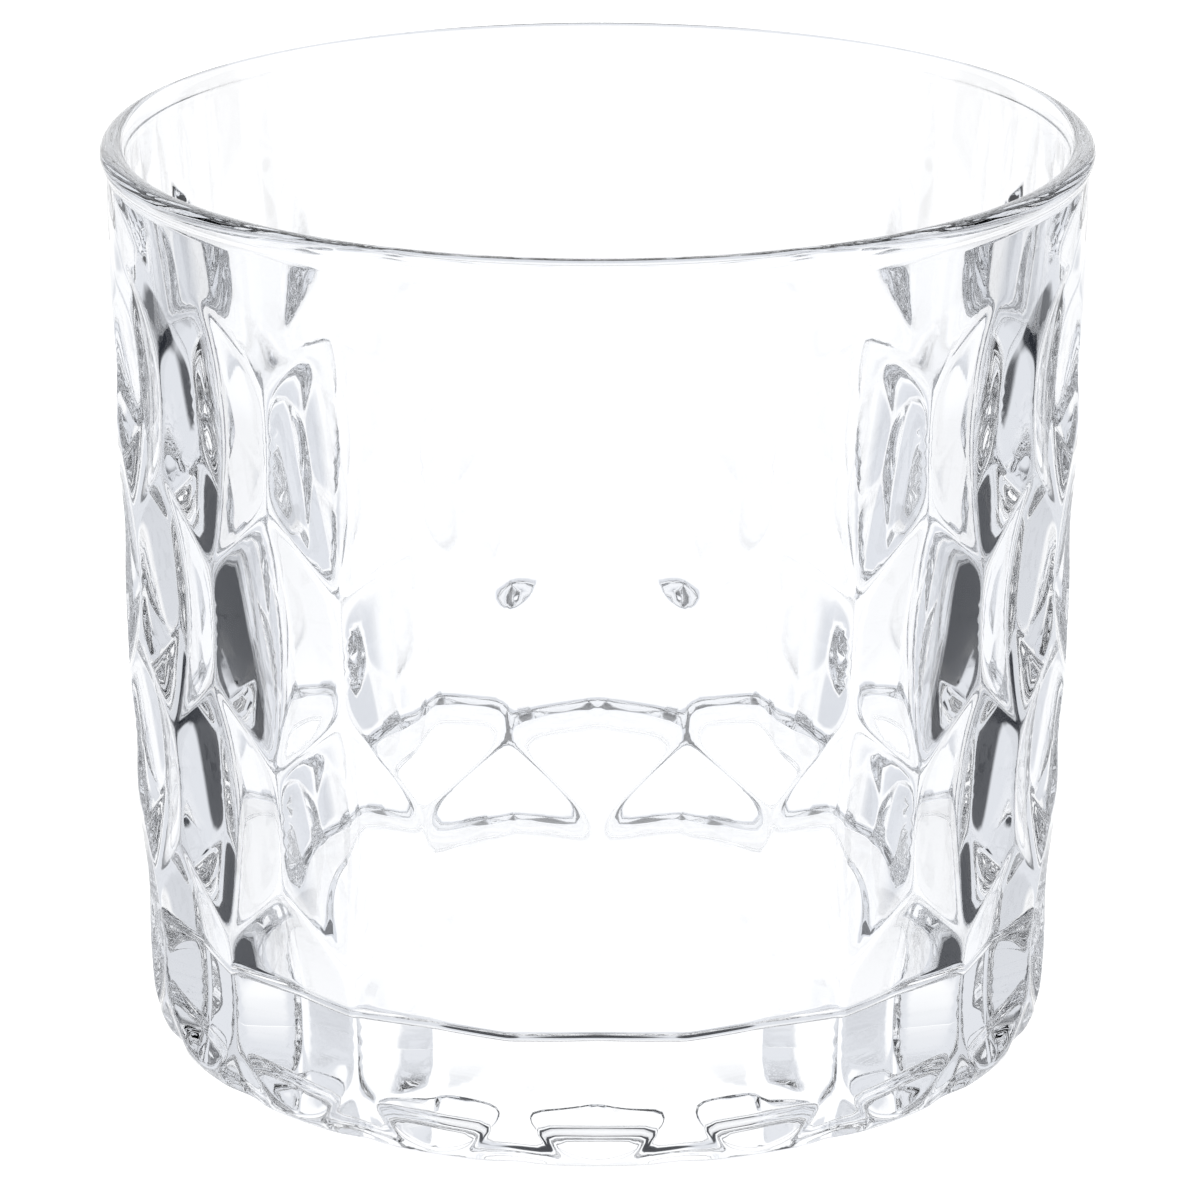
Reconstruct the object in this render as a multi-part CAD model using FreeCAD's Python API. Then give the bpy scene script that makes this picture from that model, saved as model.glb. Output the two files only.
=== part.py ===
# Cut crystal whiskey tumbler, modelled as the one piece of glass that it is.
# Millimetres, +Z up. The origin is the centre of the foot, on the surface that it stands on.
# The blank is a body of revolution. Staggered rows of leaf-shaped mitre cuts go round
# its wall, and the lowest row only nicks the edge of the foot.
import FreeCAD, Part
import math
import os

NODE_NAME = "tumbler_body"

# Blank: outside
HEIGHT = 78.1
WALL_TOP_RADIUS = 41.5        # widest part of the plain wall
WALL_TOP_HEIGHT = 72.0        # height of that widest part, just under the bead
WALL_ARC_RADIUS = 1300.0      # very slight barrel of the wall in profile
CORNER_HEIGHT = 3.2           # below this the wall turns in towards the foot
CORNER_RADIUS = 6.0
FOOT_EDGE = 0.3               # polished edge between that corner and the flat foot

# Blank: rolled bead at the rim
BEAD_RADIUS = 42.0            # outermost radius of the bead
BEAD_THICKNESS = 2.1          # the bead is round, so this is its height too
BEAD_NECK_ANGLE = -40.0       # where the bead's circle meets the hollow below it
BEAD_NECK_LENGTH = 0.5        # height over which the wall curves out to the bead

# Blank: inside. The bore is one curve from the bead down to the floor's corner round, and
# these (radius, height) poles shape it: the wall thickens quickly under the rim, then slowly.
BORE_UPPER_POLE = (39.05, 64.0)
BORE_LOWER_POLE = (37.4, 56.0)
BORE_FLOOR_RADIUS = 36.5      # bore radius at the top of the floor's corner round
FLOOR_CORNER_ROUND = 2.0
BASE_THICKNESS = 10.3

# Blank: underside, ground out a little so that the glass stands on a flat ring
RECESS_RADIUS = 30.7          # at the middle of the step
RECESS_DEPTH = 0.8
RECESS_STEP = 1.6             # width of the rounded step up from the ring

# Cuts: one mitre wheel makes every leaf
COLUMNS = 18                  # leaves in each row
ROWS = 5
ROW_PITCH = 16.5              # height from one row to the next
LOWEST_ROW_HEIGHT = -6.4      # mid-height of the lowest row, below the foot
LEAF_HALF_HEIGHT = 10.6
LEAF_DEPTH = 1.72             # depth of the crease below the wall at mid-leaf
FACET_SLOPE = 0.15            # rise of each facet away from the crease
CREASE_ROUND = 6.0            # radius of the wheel's dressed edge, left in the crease

# Cutter: only the sector of the wheel's rim that reaches the glass
WHEEL_HALF_WIDTH = 9.5
WHEEL_RIM_DEPTH = 4.0
WHEEL_SECTOR = 26.0           # degrees each side of mid-leaf

# Values that follow from those
BEAD_HALF = BEAD_THICKNESS / 2.0
BEAD_CENTRE_RADIUS = BEAD_RADIUS - BEAD_HALF
BEAD_CENTRE_HEIGHT = HEIGHT - BEAD_HALF
WHEEL_RADIUS = (LEAF_HALF_HEIGHT ** 2 + LEAF_DEPTH ** 2) / (2.0 * LEAF_DEPTH)
COLUMN_ANGLE = 360.0 / COLUMNS
FRONT_ANGLE = -90.0           # a leaf of the second row faces the front, which is -Y
SEAM_ANGLE = 4.0              # keeps the blank's own seam off every crease and ridge
Z_AXIS = FreeCAD.Vector(0, 0, 1)


def wall_radius(height):
    """Outer radius of the uncut wall."""
    return WALL_TOP_RADIUS - (WALL_TOP_HEIGHT - height) ** 2 / (2.0 * WALL_ARC_RADIUS)


def wall_lean(height):
    """Degrees that the uncut wall leans outwards from the vertical."""
    return math.degrees(math.atan((WALL_TOP_HEIGHT - height) / WALL_ARC_RADIUS))


def corner_radius_at(height):
    """Outer radius of the blank in the corner above the foot."""
    drop = CORNER_HEIGHT - height
    return wall_radius(CORNER_HEIGHT) - CORNER_RADIUS + math.sqrt(CORNER_RADIUS ** 2 - drop ** 2)


def bead_angle_point(degrees):
    """(radius, height) on the bead's circle; 0 is outermost and 90 is the top."""
    angle = math.radians(degrees)
    return (BEAD_CENTRE_RADIUS + BEAD_HALF * math.cos(angle),
            BEAD_CENTRE_HEIGHT + BEAD_HALF * math.sin(angle))


def vector(point):
    """A (radius, height) pair of the section as a point in the XZ plane."""
    return FreeCAD.Vector(point[0], 0.0, point[1])


def line(start, end):
    return Part.LineSegment(vector(start), vector(end)).toShape()


def arc(start, middle, end):
    return Part.Arc(vector(start), vector(middle), vector(end)).toShape()


def bezier(*poles):
    curve = Part.BezierCurve()
    curve.setPoles([vector(pole) for pole in poles])
    return curve.toShape()


def underside_edges(flat_edge):
    """The section's edges from the axis across the recess and the flat ring to its edge."""
    step_inside = RECESS_RADIUS - RECESS_STEP / 2.0
    step_outside = RECESS_RADIUS + RECESS_STEP / 2.0
    step_third = RECESS_STEP / 3.0
    return [line((0.0, RECESS_DEPTH), (step_inside, RECESS_DEPTH)),
            bezier((step_inside, RECESS_DEPTH), (step_inside + step_third, RECESS_DEPTH),
                   (step_outside - step_third, 0.0), (step_outside, 0.0)),
            line((step_outside, 0.0), flat_edge)]


def outside_edges():
    """The section's edges from the axis under the foot up to the bead's neck."""
    foot_rim = corner_radius_at(0.0)
    flat_edge = (foot_rim - FOOT_EDGE, 0.0)
    corner_start = (corner_radius_at(FOOT_EDGE), FOOT_EDGE)
    corner_middle_height = (FOOT_EDGE + CORNER_HEIGHT) / 2.0
    corner_middle = (corner_radius_at(corner_middle_height), corner_middle_height)
    wall_start = (wall_radius(CORNER_HEIGHT), CORNER_HEIGHT)
    wall_middle_height = (CORNER_HEIGHT + WALL_TOP_HEIGHT) / 2.0
    wall_middle = (wall_radius(wall_middle_height), wall_middle_height)
    wall_end = (WALL_TOP_RADIUS, WALL_TOP_HEIGHT)
    bead_start = bead_angle_point(BEAD_NECK_ANGLE)
    outward = bead_start[0] - WALL_TOP_RADIUS
    neck_pole = (WALL_TOP_RADIUS,
                 bead_start[1] - outward / math.tan(math.radians(-BEAD_NECK_ANGLE)))
    neck_start = (WALL_TOP_RADIUS, neck_pole[1] - BEAD_NECK_LENGTH)
    return underside_edges(flat_edge) + [
        bezier(flat_edge, (foot_rim, 0.0), corner_start),
        arc(corner_start, corner_middle, wall_start),
        arc(wall_start, wall_middle, wall_end),
        line(wall_end, neck_start),
        bezier(neck_start, neck_pole, bead_start)]


def inside_edges():
    """The section's edges from the bead down the bore and across the floor to the axis."""
    bead_start = bead_angle_point(BEAD_NECK_ANGLE)
    bead_end = bead_angle_point(180.0)
    bore_end = (BORE_FLOOR_RADIUS, BASE_THICKNESS + FLOOR_CORNER_ROUND)
    round_centre = (BORE_FLOOR_RADIUS - FLOOR_CORNER_ROUND, bore_end[1])
    diagonal = FLOOR_CORNER_ROUND * math.sqrt(0.5)
    round_middle = (round_centre[0] + diagonal, round_centre[1] - diagonal)
    floor_edge = (round_centre[0], BASE_THICKNESS)
    floor_middle = (0.0, BASE_THICKNESS)
    return [arc(bead_start, bead_angle_point(90.0), bead_end),
            bezier(bead_end, BORE_UPPER_POLE, BORE_LOWER_POLE, bore_end),
            arc(bore_end, round_middle, floor_edge),
            line(floor_edge, floor_middle),
            line(floor_middle, (0.0, RECESS_DEPTH))]


def make_blank():
    """The uncut tumbler: its section turned once round the Z axis."""
    section = Part.Face(Part.Wire(outside_edges() + inside_edges()))
    section.rotate(FreeCAD.Vector(0, 0, 0), Z_AXIS, SEAM_ANGLE)
    return section.revolve(FreeCAD.Vector(0, 0, 0), Z_AXIS, 360.0)


def wheel_section(crease_radius, height):
    """The wheel's V-shaped rim, pointing at the glass, in the horizontal plane at mid-leaf."""
    half_angle = math.atan(FACET_SLOPE)
    round_half_width = CREASE_ROUND * math.sin(half_angle)
    round_rise = CREASE_ROUND * (1.0 - math.cos(half_angle))
    flank_start = crease_radius + round_rise
    flank_end = flank_start + FACET_SLOPE * (WHEEL_HALF_WIDTH - round_half_width)
    rim_back = crease_radius + WHEEL_RIM_DEPTH
    right_edge = FreeCAD.Vector(flank_end, WHEEL_HALF_WIDTH, height)
    right_tangent = FreeCAD.Vector(flank_start, round_half_width, height)
    tip = FreeCAD.Vector(crease_radius, 0.0, height)
    left_tangent = FreeCAD.Vector(flank_start, -round_half_width, height)
    left_edge = FreeCAD.Vector(flank_end, -WHEEL_HALF_WIDTH, height)
    left_back = FreeCAD.Vector(rim_back, -WHEEL_HALF_WIDTH, height)
    right_back = FreeCAD.Vector(rim_back, WHEEL_HALF_WIDTH, height)
    edges = [Part.LineSegment(right_edge, right_tangent).toShape(),
             Part.Arc(right_tangent, tip, left_tangent).toShape(),
             Part.LineSegment(left_tangent, left_edge).toShape(),
             Part.LineSegment(left_edge, left_back).toShape(),
             Part.LineSegment(left_back, right_back).toShape(),
             Part.LineSegment(right_back, right_edge).toShape()]
    return Part.Face(Part.Wire(edges))


def make_wheel(height):
    """The cutter for one leaf at a height, over the +X side of the blank."""
    surface_radius = wall_radius(height)
    crease_radius = surface_radius - LEAF_DEPTH
    axle = FreeCAD.Vector(crease_radius + WHEEL_RADIUS, 0.0, height)
    axle_direction = FreeCAD.Vector(0, 1, 0)
    rim = wheel_section(crease_radius, height)
    rim.rotate(axle, axle_direction, -WHEEL_SECTOR)
    wheel = rim.revolve(axle, axle_direction, 2.0 * WHEEL_SECTOR)
    wheel.rotate(FreeCAD.Vector(surface_radius, 0.0, height), axle_direction, wall_lean(height))
    return wheel


def make_cutters():
    """Every leaf's cutter. Rows above and below each other are half a column apart."""
    cutters = []
    for row in range(ROWS):
        wheel = make_wheel(LOWEST_ROW_HEIGHT + row * ROW_PITCH)
        stagger = 0.5 if row % 2 == 0 else 0.0
        for column in range(COLUMNS):
            cutter = wheel.copy()
            angle = FRONT_ANGLE + (column + stagger) * COLUMN_ANGLE
            cutter.rotate(FreeCAD.Vector(0, 0, 0), Z_AXIS, angle)
            cutters.append(cutter)
    return cutters


def make_tumbler():
    return make_blank().cut(make_cutters())


os.makedirs("parts", exist_ok=True)
tumbler = make_tumbler()
tumbler.Solids[0].exportStep("parts/" + NODE_NAME + ".step")
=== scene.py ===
# Whiskey tumbler in clear cut crystal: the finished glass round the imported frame.
# Lengths in the shape section are millimetres, as in the CAD, and MM turns them to metres.
import math
import bpy
import numpy as np
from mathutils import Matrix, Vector
from mathutils.geometry import delaunay_2d_cdt


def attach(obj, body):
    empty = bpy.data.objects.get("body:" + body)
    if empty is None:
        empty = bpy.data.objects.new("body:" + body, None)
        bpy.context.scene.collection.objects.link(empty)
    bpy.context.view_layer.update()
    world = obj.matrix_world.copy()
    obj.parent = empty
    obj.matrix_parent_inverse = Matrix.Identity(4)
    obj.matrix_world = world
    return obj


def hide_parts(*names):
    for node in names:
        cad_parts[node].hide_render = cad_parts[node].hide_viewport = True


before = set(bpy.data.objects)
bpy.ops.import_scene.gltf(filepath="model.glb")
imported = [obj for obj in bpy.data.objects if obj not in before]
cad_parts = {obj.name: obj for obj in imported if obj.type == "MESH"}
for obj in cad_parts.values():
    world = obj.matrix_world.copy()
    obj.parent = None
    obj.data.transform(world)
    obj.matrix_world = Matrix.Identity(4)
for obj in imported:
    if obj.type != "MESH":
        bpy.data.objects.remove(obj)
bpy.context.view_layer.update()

MM = 0.001
NODE = "tumbler_body"

# ---- Shape: the CAD's driving dimensions, mm ----
HEIGHT = 78.1
WALL_TOP_RADIUS = 41.5
WALL_TOP_HEIGHT = 72.0
WALL_ARC_RADIUS = 1300.0
CORNER_HEIGHT = 3.2
CORNER_RADIUS = 6.0
BEAD_RADIUS = 42.0
BEAD_HALF = 1.05
BEAD_NECK_ANGLE = -40.0
BEAD_NECK_LENGTH = 0.5
BORE_POLES = [(39.9, 77.05), (39.05, 64.0), (37.4, 56.0), (36.5, 12.3)]
FLOOR_CORNER_ROUND = 2.0
BASE_THICKNESS = 10.3
RECESS_RADIUS = 30.7
RECESS_DEPTH = 0.8
RECESS_STEP = 1.6
COLUMNS = 18
ROWS = 5
ROW_PITCH = 16.5
LOWEST_ROW_HEIGHT = -6.4
LEAF_HALF_HEIGHT = 10.6
LEAF_DEPTH = 1.72
FACET_SLOPE = 0.15
CREASE_ROUND = 6.0

WHEEL_RADIUS = (LEAF_HALF_HEIGHT ** 2 + LEAF_DEPTH ** 2) / (2.0 * LEAF_DEPTH)
FACET_ANGLE = math.atan(FACET_SLOPE)
ROUND_HALF_WIDTH = CREASE_ROUND * math.sin(FACET_ANGLE)
COLUMN_ANGLE = math.radians(360.0 / COLUMNS)
WEDGE_ANGLE = COLUMN_ANGLE / 2.0     # the pattern mirrors at every half column
WEDGES = 2 * COLUMNS

# ---- Mesh: how the shape is sampled, mm ----
POLISH = 0.12                # softening of every ridge by the final polish
PATCH_BOTTOM = 0.3           # the cut wall's patch runs from here
PATCH_TOP = 72.5             # to here
MEAN_RADIUS = 41.0           # turns angle into length on the patch
GRID = 0.75                  # spacing of the even fill
EDGE_STEP = 0.3              # spacing of the search for edges
EDGE_OFFSETS = (0.14, 0.34)  # extra points this far to each side of an edge
TOP_SEGMENTS = 6             # round the rim, per wedge
STANDING_RING = 33.2         # radius of one more ring on the flat that the glass stands on

# ---- Glass, studio and camera ----
GLASS_IOR = 1.53
HAZE_SCALE = 90.0            # patches of haze to the metre
HAZE_ROUGHNESS = 0.012       # roughness where the haze is strongest
WAVE_SCALE = 140.0           # waves to the metre left in the polished surface
WAVE_HEIGHT = 0.00003        # m
FLOOR_Z = -0.0002            # m, just clear of the foot
FLOOR_HALF_SIDE = 3.0        # m
TABLE_GLOW = 1.25
# The soft studio that the glass shows, by direction: an even grey room with one white screen
# straight behind, a lit front, a black flag standing at each side, and dark overhead and below.
# Each is a tone, degrees to either side of straight behind the glass (first, last), degrees
# above the horizon (first, last) and the width of its soft edge.
ROOM_TONE = (0.77, 0.79, 0.83)
WHITE = (1.1, 1.1, 1.1)
LIT = (0.95, 0.96, 0.98)
BLACK = (0.025, 0.028, 0.035)
STUDIO = [(WHITE, (0.0, 22.0), (-48.0, 58.0), 7.0),
          (LIT, (118.0, 181.0), (-60.0, 30.0), 10.0),
          (BLACK, (58.0, 78.0), (-42.0, 34.0), 4.0),
          (BLACK, (0.0, 181.0), (66.0, 91.0), 6.0),
          (BLACK, (0.0, 181.0), (-91.0, -74.0), 6.0)]

CAMERA_LENS = 160.8
CAMERA_SHIFT = 0.002
CAMERA_PLACE = (0.0, -0.4413, 0.1878)
CAMERA_AIM = (0.0, 0.0, 0.03616)


def wall_radius(z):
    """Outer radius of the uncut blank, corner included."""
    barrel = WALL_TOP_RADIUS - np.maximum(WALL_TOP_HEIGHT - z, 0.0) ** 2 / (2 * WALL_ARC_RADIUS)
    corner_top = WALL_TOP_RADIUS - (WALL_TOP_HEIGHT - CORNER_HEIGHT) ** 2 / (2 * WALL_ARC_RADIUS)
    drop = np.clip(CORNER_HEIGHT - z, 0.0, CORNER_RADIUS)
    corner = corner_top - CORNER_RADIUS + np.sqrt(CORNER_RADIUS ** 2 - drop ** 2)
    return np.where(z < CORNER_HEIGHT, corner, barrel)


def leaf_radius(theta, z, row, azimuth):
    """Radius of one leaf's cut surface, which the mitre wheel leaves, or a large value."""
    height = LOWEST_ROW_HEIGHT + row * ROW_PITCH
    lean = math.atan((WALL_TOP_HEIGHT - height) / WALL_ARC_RADIUS)
    surface = WALL_TOP_RADIUS - (WALL_TOP_HEIGHT - height) ** 2 / (2 * WALL_ARC_RADIUS)
    reach = WHEEL_RADIUS - LEAF_DEPTH
    axle_radius = surface + reach * math.cos(lean)
    axle_height = height - reach * math.sin(lean)
    phi = theta - azimuth
    r = np.full(np.shape(theta + z), MEAN_RADIUS)
    for _ in range(6):
        across = np.abs(r * np.sin(phi))
        inside = np.minimum(across, ROUND_HALF_WIDTH)
        rounded = WHEEL_RADIUS - CREASE_ROUND + np.sqrt(CREASE_ROUND ** 2 - inside ** 2)
        rim = rounded - FACET_SLOPE * np.maximum(across - ROUND_HALF_WIDTH, 0.0)
        rest = rim ** 2 - (z - axle_height) ** 2
        r = (axle_radius - np.sqrt(np.maximum(rest, 0.0))) / np.cos(phi)
    return np.where(rest > 0.0, r, 2.0 * MEAN_RADIUS)


def surfaces(theta, z):
    """Every surface that can bound the glass near a wedge: the wall and two leaves a row."""
    found = [wall_radius(z) + 0.0 * theta]
    for row in range(ROWS):
        own = WEDGE_ANGLE if row % 2 == 0 else 0.0
        other = own - COLUMN_ANGLE if row % 2 == 0 else own + COLUMN_ANGLE
        found.append(leaf_radius(theta, z, row, own))
        found.append(leaf_radius(theta, z, row, other))
    return np.stack(found)


def outer_radius(theta, z):
    """The cut and polished outside: a soft minimum of all the surfaces."""
    all_radii = surfaces(theta, z)
    least = all_radii.min(axis=0)
    return least - POLISH * np.log(np.exp((least - all_radii) / POLISH).sum(axis=0))


def outer_normals(theta, z):
    """Unit normals (radial, tangential, up) of the outside."""
    step = 0.004
    radius = outer_radius(theta, z)
    slope_round = (outer_radius(theta + step / MEAN_RADIUS, z)
                   - outer_radius(theta - step / MEAN_RADIUS, z)) / (2 * step / MEAN_RADIUS)
    slope_up = (outer_radius(theta, z + step) - outer_radius(theta, z - step)) / (2 * step)
    normals = np.stack([np.ones_like(radius), -slope_round / radius, -slope_up], axis=-1)
    return radius, normals / np.linalg.norm(normals, axis=-1, keepdims=True)


def edge_points(span, low, high):
    """Points on every edge between two surfaces of the wedge, with the way across it."""
    s = np.linspace(0.0, span, int(round(span / EDGE_STEP)) + 1)
    z = np.linspace(low, high, int(round((high - low) / EDGE_STEP)) + 1)
    S, Z = np.meshgrid(s, z)
    label = surfaces(S / MEAN_RADIUS, Z).argmin(axis=0)
    pairs = []
    for a, b in (((slice(None), slice(0, -1)), (slice(None), slice(1, None))),
                 ((slice(0, -1), slice(None)), (slice(1, None), slice(None)))):
        change = label[a] != label[b]
        pairs.append(np.stack([S[a][change], Z[a][change], S[b][change], Z[b][change]], axis=-1))
    pairs = np.concatenate(pairs)
    first, last = pairs[:, :2].copy(), pairs[:, 2:].copy()
    start = surfaces(first[:, 0] / MEAN_RADIUS, first[:, 1]).argmin(axis=0)
    for _ in range(14):
        middle = (first + last) / 2
        same = surfaces(middle[:, 0] / MEAN_RADIUS, middle[:, 1]).argmin(axis=0) == start
        first[same] = middle[same]
        last[~same] = middle[~same]
    points = (first + last) / 2
    end = surfaces(last[:, 0] / MEAN_RADIUS, last[:, 1]).argmin(axis=0)
    index = np.arange(len(points))

    def gap(where):
        both = surfaces(where[:, 0] / MEAN_RADIUS, where[:, 1])
        return both[start, index] - both[end, index]

    nudge = 0.01
    across = np.stack([gap(points + (nudge, 0)) - gap(points - (nudge, 0)),
                       gap(points + (0, nudge)) - gap(points - (0, nudge))], axis=-1)
    length = np.linalg.norm(across, axis=1, keepdims=True)
    good = length[:, 0] > 1e-9
    return points[good], across[good] / length[good]


class Thinned:
    """A set of points in which no two are closer than the distance asked for."""

    def __init__(self):
        self.points = []
        self.cells = {}

    def add(self, s, z, clear):
        cell = (int(s // 0.5), int(z // 0.5))
        for i in range(cell[0] - 1, cell[0] + 2):
            for j in range(cell[1] - 1, cell[1] + 2):
                for k in self.cells.get((i, j), ()):
                    other = self.points[k]
                    if (other[0] - s) ** 2 + (other[1] - z) ** 2 < clear * clear:
                        return
        self.cells.setdefault(cell, []).append(len(self.points))
        self.points.append((s, z))


def wedge_points(span):
    """Sample points of one wedge: its borders, the edges of the cuts, then an even fill."""
    kept = Thinned()
    for s in np.linspace(0.0, span, TOP_SEGMENTS + 1):
        kept.add(s, PATCH_TOP, 0.01)
    for s in (0.0, span):
        kept.add(s, PATCH_BOTTOM, 0.01)
    on_edges, across = edge_points(span, PATCH_BOTTOM, PATCH_TOP - 1.0)
    for s, z in on_edges:
        side = 0.0 if s < 0.06 else span if s > span - 0.06 else s
        foot = PATCH_BOTTOM if z < PATCH_BOTTOM + 0.06 else z
        kept.add(side, foot, 0.11)
    for s in np.linspace(0.0, span, 15):
        kept.add(s, PATCH_BOTTOM, 0.25)
    for z in np.arange(PATCH_BOTTOM, PATCH_TOP, 0.5):
        kept.add(0.0, z, 0.2)
        kept.add(span, z, 0.2)
    for offset in EDGE_OFFSETS:
        for sign in (-1, 1):
            for (s, z), (ds, dz) in zip(on_edges, across):
                moved = (s + sign * offset * ds, z + sign * offset * dz)
                within = 0.12 < moved[0] < span - 0.12
                if within and PATCH_BOTTOM + 0.1 < moved[1] < PATCH_TOP - 0.3:
                    kept.add(moved[0], moved[1], 0.13 + 0.3 * (offset - EDGE_OFFSETS[0]))
    rows = int((PATCH_TOP - PATCH_BOTTOM) / (GRID * 0.87))
    for j in range(1, rows):
        z = PATCH_BOTTOM + (PATCH_TOP - PATCH_BOTTOM) * j / rows
        columns = int(round(span / GRID))
        for i in range(columns + 1):
            s = (i + 0.5 * (j % 2)) * span / columns
            if 0.15 < s < span - 0.15:
                kept.add(s, z, 0.3)
    return np.array(kept.points)


def bezier(poles, count):
    """Points on a Bezier curve of any degree, with the unit direction at each."""
    t = np.linspace(0.0, 1.0, count)[:, None]
    layer = [np.array(p, float) + 0.0 * t for p in poles]
    while len(layer) > 2:
        layer = [a + (b - a) * t for a, b in zip(layer, layer[1:])]
    ahead = layer[1] - layer[0]
    return layer[0] + ahead * t, ahead / np.linalg.norm(ahead, axis=1, keepdims=True)


def turned_profile():
    """The uncut part of the section from the top of the patch to the middle of the floor.

    Gives (radius, height, outward radius part, outward height part) for each ring.
    """
    bead_radius = BEAD_RADIUS - BEAD_HALF
    bead_height = HEIGHT - BEAD_HALF
    start_angle = math.radians(BEAD_NECK_ANGLE)
    bead_start = (bead_radius + BEAD_HALF * math.cos(start_angle),
                  bead_height + BEAD_HALF * math.sin(start_angle))
    pole = (WALL_TOP_RADIUS,
            bead_start[1] - (bead_start[0] - WALL_TOP_RADIUS) / math.tan(-start_angle))
    neck_start = (WALL_TOP_RADIUS, pole[1] - BEAD_NECK_LENGTH)
    rings = [(WALL_TOP_RADIUS, z, 1.0, 0.0) for z in (73.1, 73.8, neck_start[1])]
    neck, ahead = bezier([neck_start, pole, bead_start], 6)
    rings += [(p[0], p[1], d[1], -d[0]) for p, d in zip(neck[1:], ahead[1:])]
    for angle in np.linspace(start_angle, math.pi, 25)[1:]:
        out = (math.cos(angle), math.sin(angle))
        rings.append((bead_radius + BEAD_HALF * out[0], bead_height + BEAD_HALF * out[1], *out))
    bore, ahead = bezier(BORE_POLES, 28)
    rings += [(p[0], p[1], d[1], -d[0]) for p, d in zip(bore[1:], ahead[1:])]
    corner = (BORE_POLES[-1][0] - FLOOR_CORNER_ROUND, BASE_THICKNESS + FLOOR_CORNER_ROUND)
    for angle in np.linspace(0.0, -math.pi / 2, 13)[1:]:
        out = (math.cos(angle), math.sin(angle))
        rings.append((corner[0] + FLOOR_CORNER_ROUND * out[0],
                      corner[1] + FLOOR_CORNER_ROUND * out[1], -out[0], -out[1]))
    rings += [(corner[0] * share, BASE_THICKNESS, 0.0, 1.0) for share in (0.8, 0.6, 0.4, 0.2)]
    return rings


class GlassMesh:
    """Vertices, unit normals and faces of the whole tumbler, in millimetres."""

    def __init__(self):
        self.places = []
        self.normals = []
        self.faces = []

    def ring(self, thetas, radii, z, normals):
        """Adds one closed ring; thetas are from the front, normals are radial, round, up."""
        first = sum(len(p) for p in self.places)
        self.add_points(thetas, radii, z, normals)
        return np.arange(first, first + len(thetas))

    def add_points(self, thetas, radii, z, normals):
        sine, cosine = np.sin(thetas), np.cos(thetas)
        z = z + 0.0 * thetas
        self.places.append(np.stack([radii * sine, -radii * cosine, z], axis=-1))
        out, round_, up = normals[..., 0], normals[..., 1], normals[..., 2]
        self.normals.append(np.stack([out * sine + round_ * cosine,
                                      -out * cosine + round_ * sine, up + 0.0 * thetas], axis=-1))

    def stitch(self, lower, upper):
        """Quads between two rings of the same length, facing out when upper is above."""
        n = len(lower)
        for i in range(n):
            j = (i + 1) % n
            self.faces.append((int(lower[i]), int(lower[j]), int(upper[j]), int(upper[i])))

    def cap(self, ring, z, up):
        """Closes a ring with a fan round its centre."""
        normal = np.array([[0.0, 0.0, float(up)]])
        centre = int(self.ring(np.zeros(1), np.zeros(1), z, normal)[0])
        n = len(ring)
        for i in range(n):
            a, b = int(ring[i]), int(ring[(i + 1) % n])
            self.faces.append((a, b, centre) if up > 0 else (b, a, centre))


def add_cut_wall(mesh):
    """The leaf-cut wall: one triangulated wedge, mirrored and repeated right round."""
    span = MEAN_RADIUS * WEDGE_ANGLE
    points = wedge_points(span)
    flat, _, triangles, _, _, _ = delaunay_2d_cdt([Vector(p) for p in points], [], [], 0, 1e-7)
    s = np.array([p[0] for p in flat])
    z = np.array([p[1] for p in flat])
    triangles = np.array(triangles)
    theta = s / MEAN_RADIUS
    radius, normals = outer_normals(theta, z)
    at_start, at_end = s < 1e-6, s > span - 1e-6
    normals[at_start | at_end, 1] = 0.0
    normals /= np.linalg.norm(normals, axis=-1, keepdims=True)
    shared = {}
    for wedge in range(WEDGES):
        flipped = wedge % 2 == 1
        base = WEDGE_ANGLE * (wedge + 1 if flipped else wedge)
        turn = -1.0 if flipped else 1.0
        ids = np.full(len(s), -1)
        low_border, high_border = (at_end, at_start) if flipped else (at_start, at_end)
        borders = ((low_border, wedge), (high_border, (wedge + 1) % WEDGES))
        for border, number in borders:
            if number in shared:
                ids[border] = shared[number]
        fresh = ids < 0
        count = sum(len(p) for p in mesh.places)
        ids[fresh] = count + np.arange(fresh.sum())
        for border, number in borders:
            shared[number] = ids[border]
        local = normals[fresh] * (1.0, turn, 1.0)
        mesh.add_points(base + turn * theta[fresh], radius[fresh], z[fresh], local)
        corners = ids[triangles]
        if flipped:
            corners = corners[:, ::-1]
        mesh.faces.extend(map(tuple, corners.tolist()))


def border_ring(mesh, height):
    """The patch's border vertices at a height, in order round the axis from the front."""
    places = np.concatenate(mesh.places)
    ids = np.nonzero(np.abs(places[:, 2] - height) < 1e-6)[0]
    thetas = np.arctan2(places[ids, 0], -places[ids, 1]) % (2.0 * math.pi)
    thetas[thetas > 2.0 * math.pi - 1e-6] = 0.0
    order = np.argsort(thetas)
    ids, thetas = ids[order], thetas[order]
    radii = np.hypot(places[ids, 0], places[ids, 1])
    return ids, thetas, radii


def add_turned_part(mesh):
    """Bead, bore and floor, each ring of the section turned round the axis."""
    last, thetas, _ = border_ring(mesh, PATCH_TOP)
    even = np.ones_like(thetas)
    for radius, height, out, up in turned_profile():
        normals = np.stack([out * even, 0.0 * even, up * even], axis=-1)
        ring = mesh.ring(thetas, radius * even, height, normals)
        mesh.stitch(last, ring)
        last = ring
    mesh.cap(last, BASE_THICKNESS, True)


def recess_profile():
    """(radius, height, slope) up the ground step of the recess, from the standing ring inwards."""
    rings = []
    for share in np.linspace(0.0, 1.0, 5):
        rise = share * share * (3.0 - 2.0 * share)
        slope = 6.0 * share * (1.0 - share) * RECESS_DEPTH / RECESS_STEP
        rings.append((RECESS_RADIUS - RECESS_STEP * (share - 0.5), RECESS_DEPTH * rise, slope))
    return rings


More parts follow.
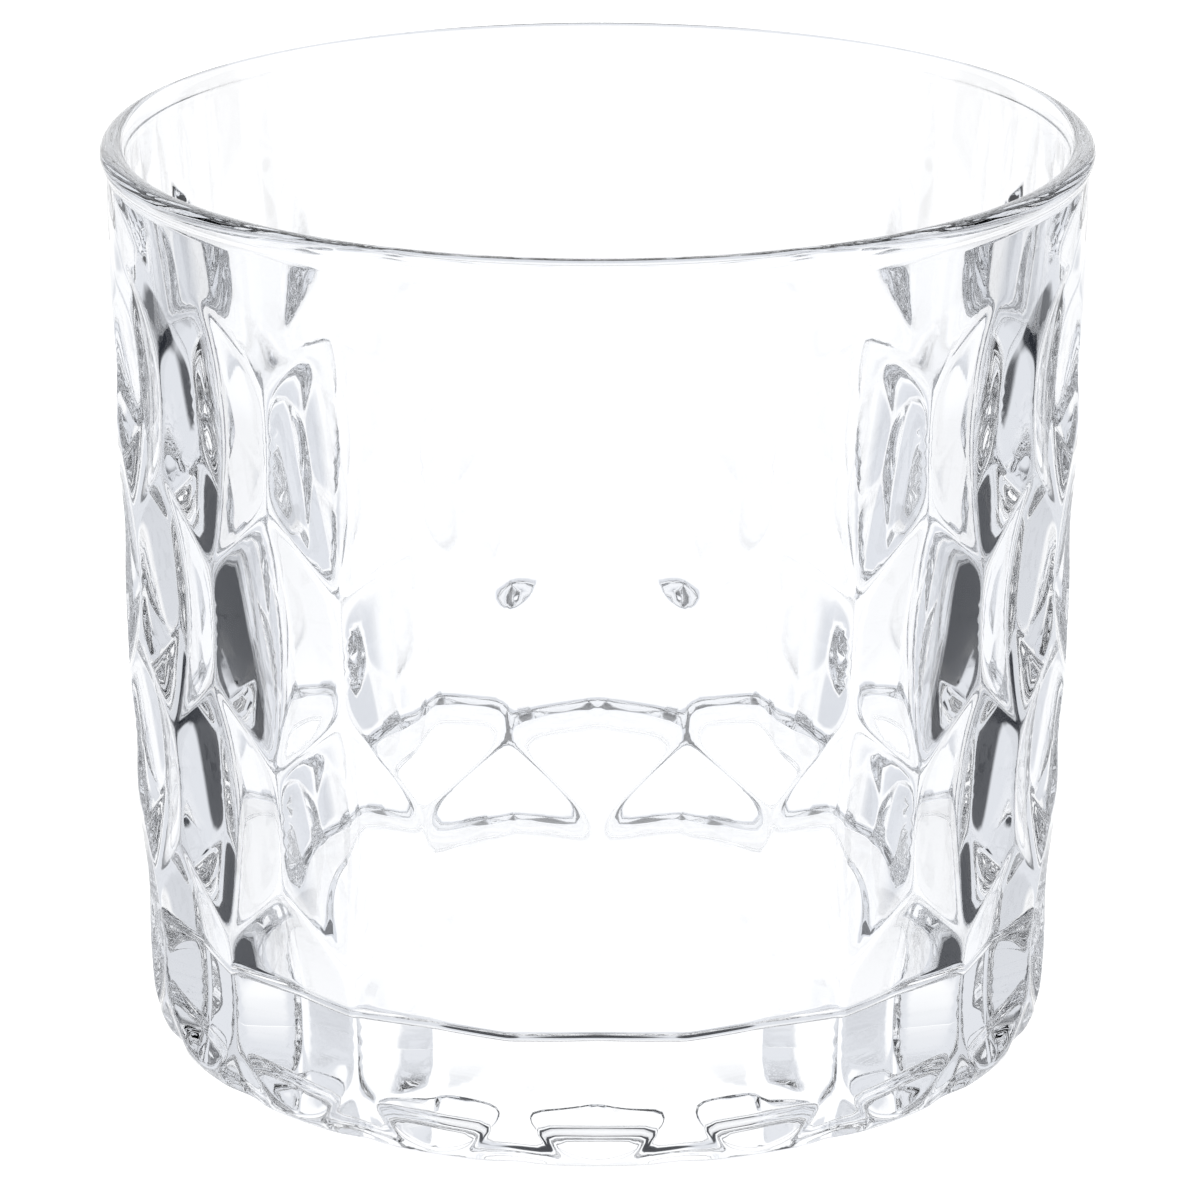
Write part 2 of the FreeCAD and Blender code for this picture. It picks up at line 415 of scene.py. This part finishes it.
def add_foot(mesh):
    """The polished edge of the foot, the flat standing ring and the recess inside it."""
    last, thetas, radii = border_ring(mesh, PATCH_BOTTOM)
    turned = np.concatenate(mesh.normals)[last]
    sine, cosine = np.sin(thetas), np.cos(thetas)
    wall = np.stack([turned[:, 0] * sine - turned[:, 1] * cosine,
                     turned[:, 0] * cosine + turned[:, 1] * sine, turned[:, 2]], axis=-1)
    down = np.array([0.0, 0.0, -1.0])
    for angle in np.radians((22.5, 45.0, 67.5, 90.0)):
        normals = wall * math.cos(angle) + down * math.sin(angle)
        normals /= np.linalg.norm(normals, axis=1, keepdims=True)
        inset = radii - PATCH_BOTTOM * (1.0 - math.cos(angle))
        ring = mesh.ring(thetas, inset, PATCH_BOTTOM * (1.0 - math.sin(angle)), normals)
        mesh.stitch(ring, last)
        last = ring
    flat = np.array([0.0, 0.0, -1.0]) + 0.0 * wall
    for radius, height, slope in [(STANDING_RING, 0.0, 0.0)] + recess_profile():
        out = slope / math.hypot(1.0, slope)
        normals = flat * math.sqrt(1.0 - out * out) - np.array([out, 0.0, 0.0])
        ring = mesh.ring(thetas, radius + 0.0 * thetas, height, normals)
        mesh.stitch(ring, last)
        last = ring
    mesh.cap(last, RECESS_DEPTH, False)


def make_tumbler():
    """The whole tumbler as one closed mesh with the true normals of its surfaces."""
    mesh = GlassMesh()
    add_cut_wall(mesh)
    add_turned_part(mesh)
    add_foot(mesh)
    places = np.concatenate(mesh.places) * MM
    data = bpy.data.meshes.new("tumbler")
    data.from_pydata(places.tolist(), [], mesh.faces)
    data.polygons.foreach_set("use_smooth", [True] * len(data.polygons))
    data.normals_split_custom_set_from_vertices(np.concatenate(mesh.normals).tolist())
    data.update()
    piece = bpy.data.objects.new("tumbler", data)
    bpy.context.scene.collection.objects.link(piece)
    return piece


def make_glass():
    """Clear crystal: full transmission, with the faint unevenness of a polished hand-cut surface."""
    material = bpy.data.materials.new("crystal")
    material.use_nodes = True
    tree = material.node_tree
    shader = tree.nodes["Principled BSDF"]
    shader.inputs["Base Color"].default_value = (0.985, 0.99, 1.0, 1.0)
    shader.inputs["IOR"].default_value = GLASS_IOR
    shader.inputs["Transmission Weight"].default_value = 1.0
    place = tree.nodes.new("ShaderNodeTexCoord")
    grain = tree.nodes.new("ShaderNodeTexNoise")
    grain.inputs["Scale"].default_value = HAZE_SCALE
    grain.inputs["Detail"].default_value = 3.0
    tree.links.new(place.outputs["Object"], grain.inputs["Vector"])
    haze = tree.nodes.new("ShaderNodeMapRange")
    haze.inputs["To Min"].default_value = 0.0
    haze.inputs["To Max"].default_value = HAZE_ROUGHNESS
    tree.links.new(grain.outputs["Fac"], haze.inputs["Value"])
    tree.links.new(haze.outputs["Result"], shader.inputs["Roughness"])
    wave = tree.nodes.new("ShaderNodeTexNoise")
    wave.inputs["Scale"].default_value = WAVE_SCALE
    wave.inputs["Detail"].default_value = 0.0
    tree.links.new(place.outputs["Object"], wave.inputs["Vector"])
    bump = tree.nodes.new("ShaderNodeBump")
    bump.inputs["Distance"].default_value = WAVE_HEIGHT
    tree.links.new(wave.outputs["Fac"], bump.inputs["Height"])
    tree.links.new(bump.outputs["Normal"], shader.inputs["Normal"])
    return material


def new_object(name, places, faces, material):
    data = bpy.data.meshes.new(name)
    data.from_pydata(places, [], faces)
    data.materials.append(material)
    made = bpy.data.objects.new(name, data)
    bpy.context.scene.collection.objects.link(made)
    return made


def make_floor():
    """A plain white light table, wide enough for every view. The glass doesn't show it."""
    material = bpy.data.materials.new("light_table")
    material.use_nodes = True
    shader = material.node_tree.nodes["Principled BSDF"]
    shader.inputs["Base Color"].default_value = (0.35, 0.35, 0.352, 1.0)
    shader.inputs["Roughness"].default_value = 0.8
    shader.inputs["Emission Color"].default_value = (1.0, 1.0, 1.0, 1.0)
    shader.inputs["Emission Strength"].default_value = TABLE_GLOW
    half = FLOOR_HALF_SIDE
    corners = [(-half, -half, FLOOR_Z), (half, -half, FLOOR_Z),
               (half, half, FLOOR_Z), (-half, half, FLOOR_Z)]
    floor = new_object("floor", corners, [(0, 1, 2, 3)], material)
    floor.visible_transmission = False
    floor.visible_glossy = False


class Nodes:
    """Short calls for building a chain of shader nodes."""

    def __init__(self, tree):
        self.tree = tree

    def node(self, kind, **settings):
        made = self.tree.nodes.new(kind)
        for name, value in settings.items():
            setattr(made, name, value)
        return made

    def feed(self, socket, value):
        if isinstance(value, bpy.types.NodeSocket):
            self.tree.links.new(value, socket)
        else:
            socket.default_value = value

    def math(self, operation, first, second=0.0):
        made = self.node("ShaderNodeMath", operation=operation)
        self.feed(made.inputs[0], first)
        self.feed(made.inputs[1], second)
        return made.outputs[0]

    def step(self, value, start, end):
        """0 before start and 1 after end, smooth between."""
        made = self.node("ShaderNodeMapRange", interpolation_type="SMOOTHSTEP")
        self.feed(made.inputs["Value"], value)
        made.inputs["From Min"].default_value = start
        made.inputs["From Max"].default_value = end
        return made.outputs["Result"]

    def window(self, value, first, last, soft):
        """1 between first and last, falling to 0 over soft outside them."""
        rise = self.step(value, first - soft, first)
        return self.math("SUBTRACT", rise, self.step(value, last, last + soft))

    def mix(self, factor, first, second):
        made = self.node("ShaderNodeMix", data_type="RGBA")
        self.feed(made.inputs["Factor"], factor)
        self.feed(made.inputs["A"], first)
        self.feed(made.inputs["B"], second)
        return made.outputs["Result"]


def make_world():
    """The studio round the glass, by direction; straight behind is +Y.

    The camera sees plain white instead of it.
    """
    world = bpy.data.worlds.new("studio")
    world.use_nodes = True
    nodes = Nodes(world.node_tree)
    way = nodes.node("ShaderNodeSeparateXYZ")
    nodes.feed(way.inputs["Vector"], nodes.node("ShaderNodeTexCoord").outputs["Generated"])
    turn = nodes.math("ARCTAN2", way.outputs["X"], way.outputs["Y"])
    turn = nodes.math("MULTIPLY", nodes.math("ABSOLUTE", turn), math.degrees(1.0))
    lift = nodes.math("MULTIPLY", nodes.math("ARCSINE", way.outputs["Z"]), math.degrees(1.0))
    tone = (*ROOM_TONE, 1.0)
    for panel, turns, lifts, soft in STUDIO:
        mask = nodes.math("MULTIPLY", nodes.window(turn, *turns, soft),
                          nodes.window(lift, *lifts, soft))
        tone = nodes.mix(mask, tone, (*panel, 1.0))
    seen = nodes.mix(nodes.node("ShaderNodeLightPath").outputs["Is Camera Ray"],
                     tone, (*WHITE, 1.0))
    nodes.feed(world.node_tree.nodes["Background"].inputs["Color"], seen)
    bpy.context.scene.world = world


def make_camera():
    data = bpy.data.cameras.new("camera")
    data.lens = CAMERA_LENS
    data.sensor_width = 36.0
    data.shift_x = CAMERA_SHIFT
    camera = bpy.data.objects.new("camera", data)
    bpy.context.scene.collection.objects.link(camera)
    camera.location = CAMERA_PLACE
    camera.rotation_mode = "QUATERNION"
    camera.rotation_quaternion = (Vector(CAMERA_AIM) - Vector(CAMERA_PLACE)).to_track_quat("-Z", "Y")
    bpy.context.scene.camera = camera


piece = make_tumbler()
piece.data.materials.append(make_glass())
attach(piece, "root")
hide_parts(NODE)
make_floor()
make_world()
make_camera()
scene = bpy.context.scene
scene.view_settings.view_transform = "Standard"
scene.cycles.max_bounces = 24
scene.cycles.transmission_bounces = 24
scene.cycles.glossy_bounces = 12
scene.cycles.diffuse_bounces = 3
